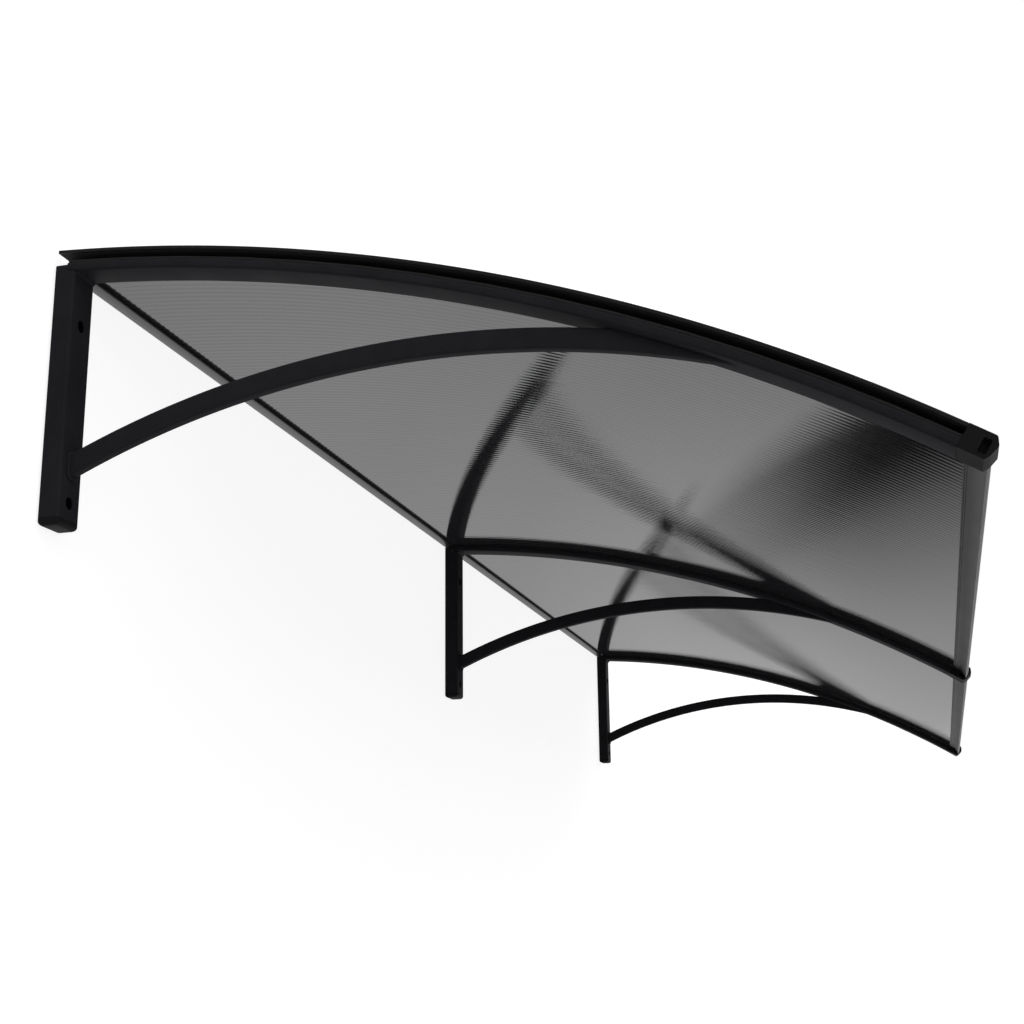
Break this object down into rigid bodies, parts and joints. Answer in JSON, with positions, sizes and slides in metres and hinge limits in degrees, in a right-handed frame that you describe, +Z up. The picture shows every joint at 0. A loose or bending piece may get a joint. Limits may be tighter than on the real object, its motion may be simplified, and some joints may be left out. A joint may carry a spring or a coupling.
{
  "type": "door canopy",
  "caption": "Curved wall canopy of smoke twin-wall sheets clamped on welded arched brackets, with wall rail and drip front profile.",
  "frame": {"origin": "on the wall face at the middle bracket, halfway between its two fixing holes", "axes": "+X along the wall to the right as one faces it, +Y into the wall, +Z up"},
  "size_m": [2.3848, 0.8205, 0.2794],
  "materials": {
    "powder_coat": "satin black powder coat",
    "coated_aluminium": "satin black coated extrusion",
    "smoke_polycarbonate": "gloss smoke-grey twin-wall polycarbonate",
    "rubber": "matt black rubber",
    "moulded_plastic": "satin black moulded plastic",
    "screw_steel": "blackened steel"
  },
  "bodies": {
    "root": {"left_upright": "powder_coat", "left_foot_plug": "moulded_plastic", "left_arm": "powder_coat", "left_brace": "powder_coat", "left_brace_weld": "powder_coat", "left_arm_weld": "powder_coat", "left_bed_seal": "rubber", "left_cover_strip": "coated_aluminium", "left_strip_seal": "rubber", "left_front_cap": "moulded_plastic", "left_strip_screw_1": "screw_steel", "left_strip_screw_2": "screw_steel", "left_strip_screw_3": "screw_steel", "left_strip_screw_4": "screw_steel", "middle_upright": "powder_coat", "middle_foot_plug": "moulded_plastic", "middle_arm": "powder_coat", "middle_brace": "powder_coat", "middle_brace_weld": "powder_coat", "middle_arm_weld": "powder_coat", "middle_bed_seal": "rubber", "middle_cover_strip": "coated_aluminium", "middle_strip_seal": "rubber", "middle_front_cap": "moulded_plastic", "middle_strip_screw_1": "screw_steel", "middle_strip_screw_2": "screw_steel", "middle_strip_screw_3": "screw_steel", "middle_strip_screw_4": "screw_steel", "right_upright": "powder_coat", "right_foot_plug": "moulded_plastic", "right_arm": "powder_coat", "right_brace": "powder_coat", "right_brace_weld": "powder_coat", "right_arm_weld": "powder_coat", "right_bed_seal": "rubber", "right_cover_strip": "coated_aluminium", "right_strip_seal": "rubber", "right_front_cap": "moulded_plastic", "right_strip_screw_1": "screw_steel", "right_strip_screw_2": "screw_steel", "right_strip_screw_3": "screw_steel", "right_strip_screw_4": "screw_steel", "left_sheet": "smoke_polycarbonate", "left_wall_rail": "coated_aluminium", "left_rail_seal": "rubber", "left_front_profile": "coated_aluminium", "right_sheet": "smoke_polycarbonate", "right_wall_rail": "coated_aluminium", "right_rail_seal": "rubber", "right_front_profile": "coated_aluminium"}
  },
  "joints": []
}
